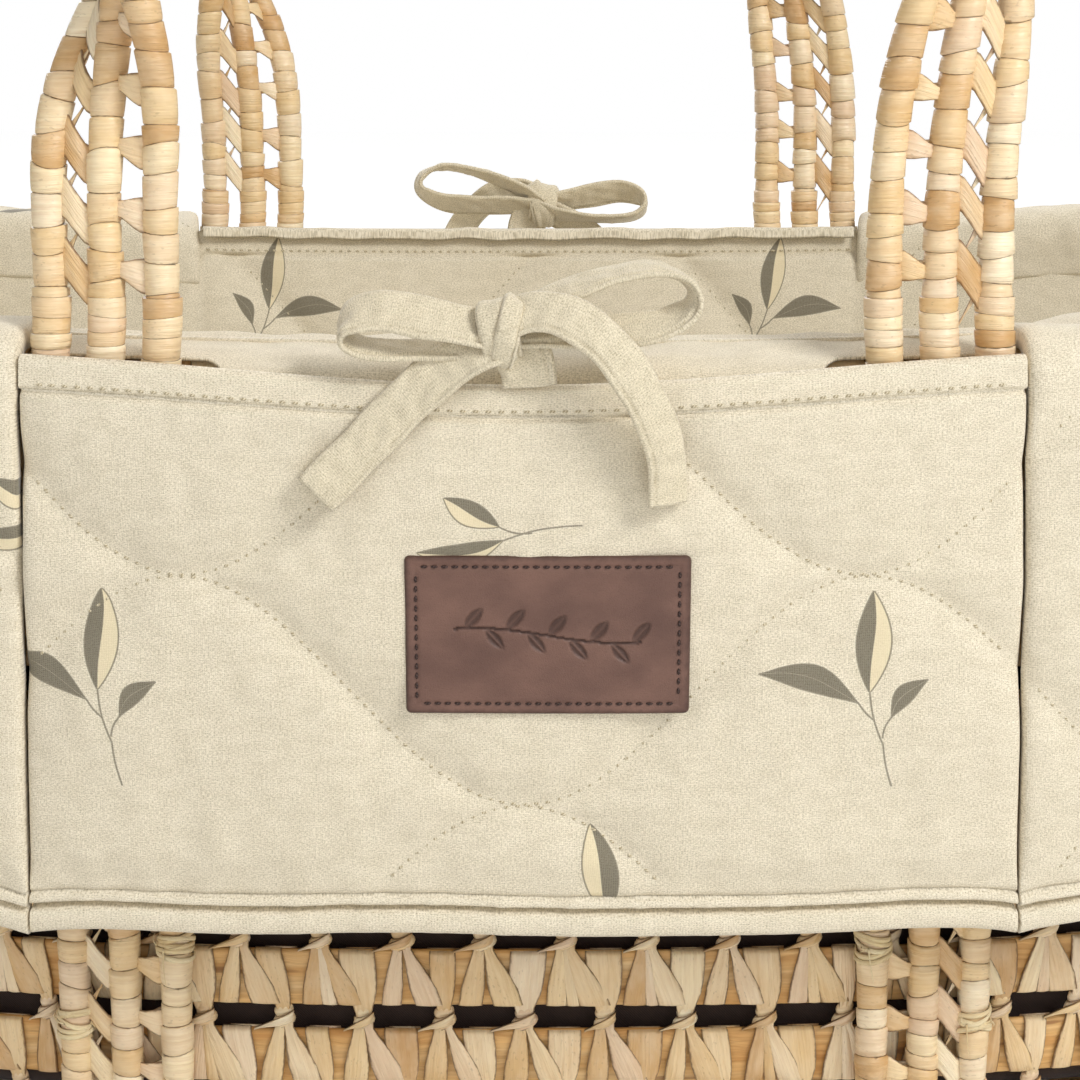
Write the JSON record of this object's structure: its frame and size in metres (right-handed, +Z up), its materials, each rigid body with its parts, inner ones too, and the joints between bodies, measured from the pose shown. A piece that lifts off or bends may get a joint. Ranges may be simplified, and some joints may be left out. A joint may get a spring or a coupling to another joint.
{
  "type": "moses basket",
  "caption": "Oval woven baby basket with two folding carry handles, a quilted liner turned down over the rim, tied bows and a loose mattress.",
  "frame": {"origin": "on the ground under the middle of the base", "axes": "+X along the length towards the head end, +Y to the back side, +Z up; the side with the leather patch faces -Y"},
  "size_m": [0.8356, 0.4578, 0.5395],
  "materials": {
    "cane": "flat split cane, dry satin",
    "palm_leaf": "dried palm leaf, satin",
    "twine": "twisted raffia, matt",
    "quilt": "quilted cotton jersey with a leaf print, matt",
    "ribbon": "folded and stitched jersey tie, matt",
    "backing": "dark woven lining cloth, matt",
    "hide": "pressed brown leather, satin",
    "ticking": "off-white cotton cover, matt"
  },
  "bodies": {
    "basket": {"back_bow": "ribbon", "back_flap": "quilt", "back_left_inner_tie": "twine", "back_left_outer_tie": "twine", "back_left_strap": "palm_leaf", "back_right_inner_tie": "twine", "back_right_outer_tie": "twine", "back_right_strap": "palm_leaf", "backing_cloth": "backing", "course_1": "cane", "course_2": "cane", "course_3": "cane", "course_4": "cane", "course_5": "cane", "course_6": "cane", "course_7": "cane", "course_8": "cane", "foot_skirt": "quilt", "front_bow": "ribbon", "front_flap": "quilt", "front_left_inner_tie": "twine", "front_left_outer_tie": "twine", "front_left_strap": "palm_leaf", "front_right_inner_tie": "twine", "front_right_outer_tie": "twine", "front_right_strap": "palm_leaf", "head_skirt": "quilt", "lashing_1": "palm_leaf", "lashing_2": "palm_leaf", "lashing_3": "palm_leaf", "lashing_4": "palm_leaf", "lashing_5": "palm_leaf", "lashing_6": "palm_leaf", "lashing_7": "palm_leaf", "lashing_8": "palm_leaf", "lashing_9": "palm_leaf", "leather_patch": "hide", "liner_floor": "quilt", "liner_wall": "quilt", "rim": "palm_leaf", "woven_base": "cane"},
    "front_handle": {"front_grip": "palm_leaf", "front_handle_inner_rod": "palm_leaf", "front_handle_middle_rod": "palm_leaf", "front_handle_outer_rod": "palm_leaf", "front_left_inner_lacing": "palm_leaf", "front_left_outer_lacing": "palm_leaf", "front_right_inner_lacing": "palm_leaf", "front_right_outer_lacing": "palm_leaf"},
    "back_handle": {"back_grip": "palm_leaf", "back_handle_inner_rod": "palm_leaf", "back_handle_middle_rod": "palm_leaf", "back_handle_outer_rod": "palm_leaf", "back_left_inner_lacing": "palm_leaf", "back_left_outer_lacing": "palm_leaf", "back_right_inner_lacing": "palm_leaf", "back_right_outer_lacing": "palm_leaf"},
    "mattress": {"mattress": "ticking"}
  },
  "joints": [
    {"name": "front_handle_fold", "type": "hinge", "parent": "basket", "child": "front_handle", "pos_m": [0, -0.2145, 0.27], "axis": [1, 0, 0], "range_deg": [-45, 148]},
    {"name": "back_handle_fold", "type": "hinge", "parent": "basket", "child": "back_handle", "pos_m": [0, 0.2145, 0.27], "axis": [-1, 0, 0], "range_deg": [-45, 148]},
    {"name": "mattress_lift", "type": "slide", "parent": "basket", "child": "mattress", "axis": [0, 0, 1], "range_m": [0, 0.22]}
  ]
}
